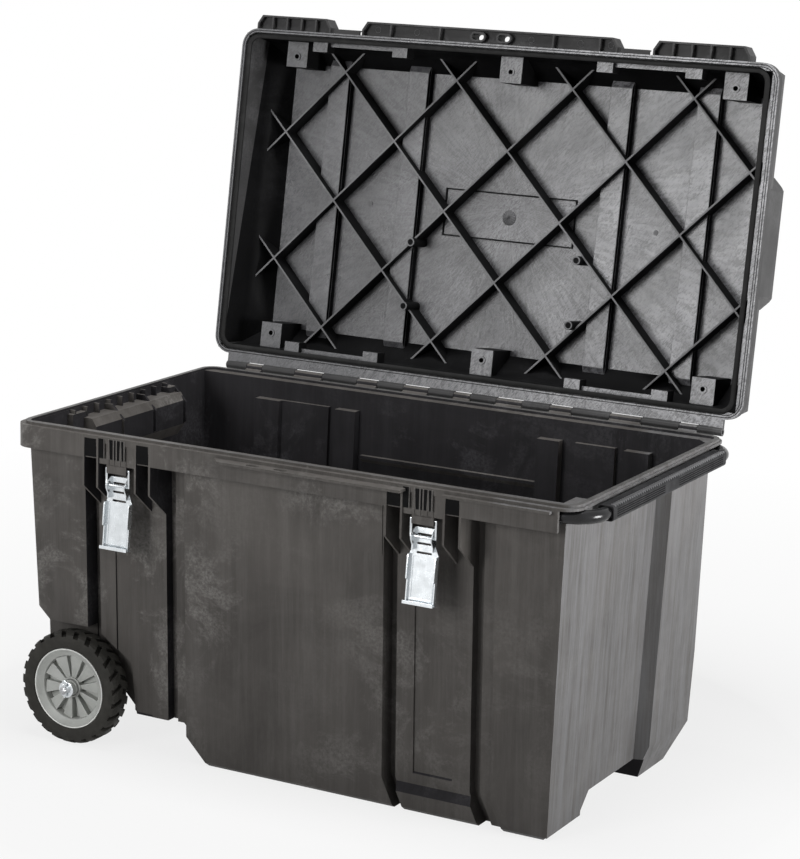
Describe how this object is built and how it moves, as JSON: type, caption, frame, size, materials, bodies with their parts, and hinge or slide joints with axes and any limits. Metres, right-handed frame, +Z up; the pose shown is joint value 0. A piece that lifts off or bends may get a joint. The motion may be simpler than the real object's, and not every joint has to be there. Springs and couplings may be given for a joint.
{
  "type": "wheeled toolbox",
  "caption": "Wheeled job chest: moulded tub with a hinged ribbed lid, draw latches on the front, a bent-tube pull-out tow handle at one end and spoked wheels at the other",
  "frame": {"origin": "on the floor, under the middle of the lid's rim", "axes": "+X along the length from the wheels to the tow handle, -Y to the latches (front), +Z up"},
  "size_m": [0.9935, 0.7864, 1.1124],
  "materials": {
    "tub_plastic": "moulded, fine grain, scuffed",
    "lid_plastic": "moulded, fine grain",
    "seal_rubber": "foam strip",
    "zinc_steel": "zinc plated sheet and wire",
    "bar_steel": "zinc plated bar",
    "hub_plastic": "moulded",
    "tyre_rubber": "moulded tread",
    "black_tube": "gloss powder coat",
    "grip_plastic": "ribbed",
    "guide_plastic": "moulded"
  },
  "bodies": {
    "chest": {"tub": "tub_plastic", "hinge_rod": "bar_steel", "axle": "bar_steel", "axle_washers": "zinc_steel", "cotter_pins": "zinc_steel", "front_handle_guides": "guide_plastic", "rear_handle_guides": "guide_plastic"},
    "lid": {"lid": "lid_plastic", "lid_seal": "seal_rubber"},
    "front_wheel": {"front_wheel_hub": "hub_plastic", "front_tyre": "tyre_rubber"},
    "rear_wheel": {"rear_wheel_hub": "hub_plastic", "rear_tyre": "tyre_rubber"},
    "left_link": {"left_latch_link": "zinc_steel"},
    "left_lever": {"left_latch_lever": "zinc_steel"},
    "right_link": {"right_latch_link": "zinc_steel"},
    "right_lever": {"right_latch_lever": "zinc_steel"},
    "tow_handle": {"tow_handle_tube": "black_tube", "tow_handle_grip": "grip_plastic", "handle_end_stops": "guide_plastic"}
  },
  "joints": [
    {"name": "lid_hinge", "type": "hinge", "parent": "chest", "child": "lid", "pos_m": [0, 0.3, 0.516], "axis": [1, 0, 0], "range_deg": [0, 98.5]},
    {"name": "front_wheel_spin", "type": "hinge", "parent": "chest", "child": "front_wheel", "pos_m": [-0.395, -0.245, 0.091], "axis": [0, 1, 0], "continuous": true},
    {"name": "rear_wheel_spin", "type": "hinge", "parent": "chest", "child": "rear_wheel", "pos_m": [-0.395, 0.245, 0.091], "axis": [0, 1, 0], "continuous": true},
    {"name": "left_link_swing", "type": "hinge", "parent": "chest", "child": "left_link", "pos_m": [-0.295, -0.275, 0.463], "axis": [1, 0, 0], "range_deg": [-90, 0]},
    {"name": "left_lever_swing", "type": "hinge", "parent": "left_link", "child": "left_lever", "pos_m": [-0.295, -0.275, 0.437], "axis": [-1, 0, 0], "range_deg": [0, 150]},
    {"name": "right_link_swing", "type": "hinge", "parent": "chest", "child": "right_link", "pos_m": [0.236, -0.275, 0.463], "axis": [1, 0, 0], "range_deg": [-90, 0]},
    {"name": "right_lever_swing", "type": "hinge", "parent": "right_link", "child": "right_lever", "pos_m": [0.236, -0.275, 0.437], "axis": [-1, 0, 0], "range_deg": [0, 150]},
    {"name": "tow_handle_slide", "type": "slide", "parent": "chest", "child": "tow_handle", "axis": [1, 0, 0], "range_m": [0, 0.42]}
  ]
}
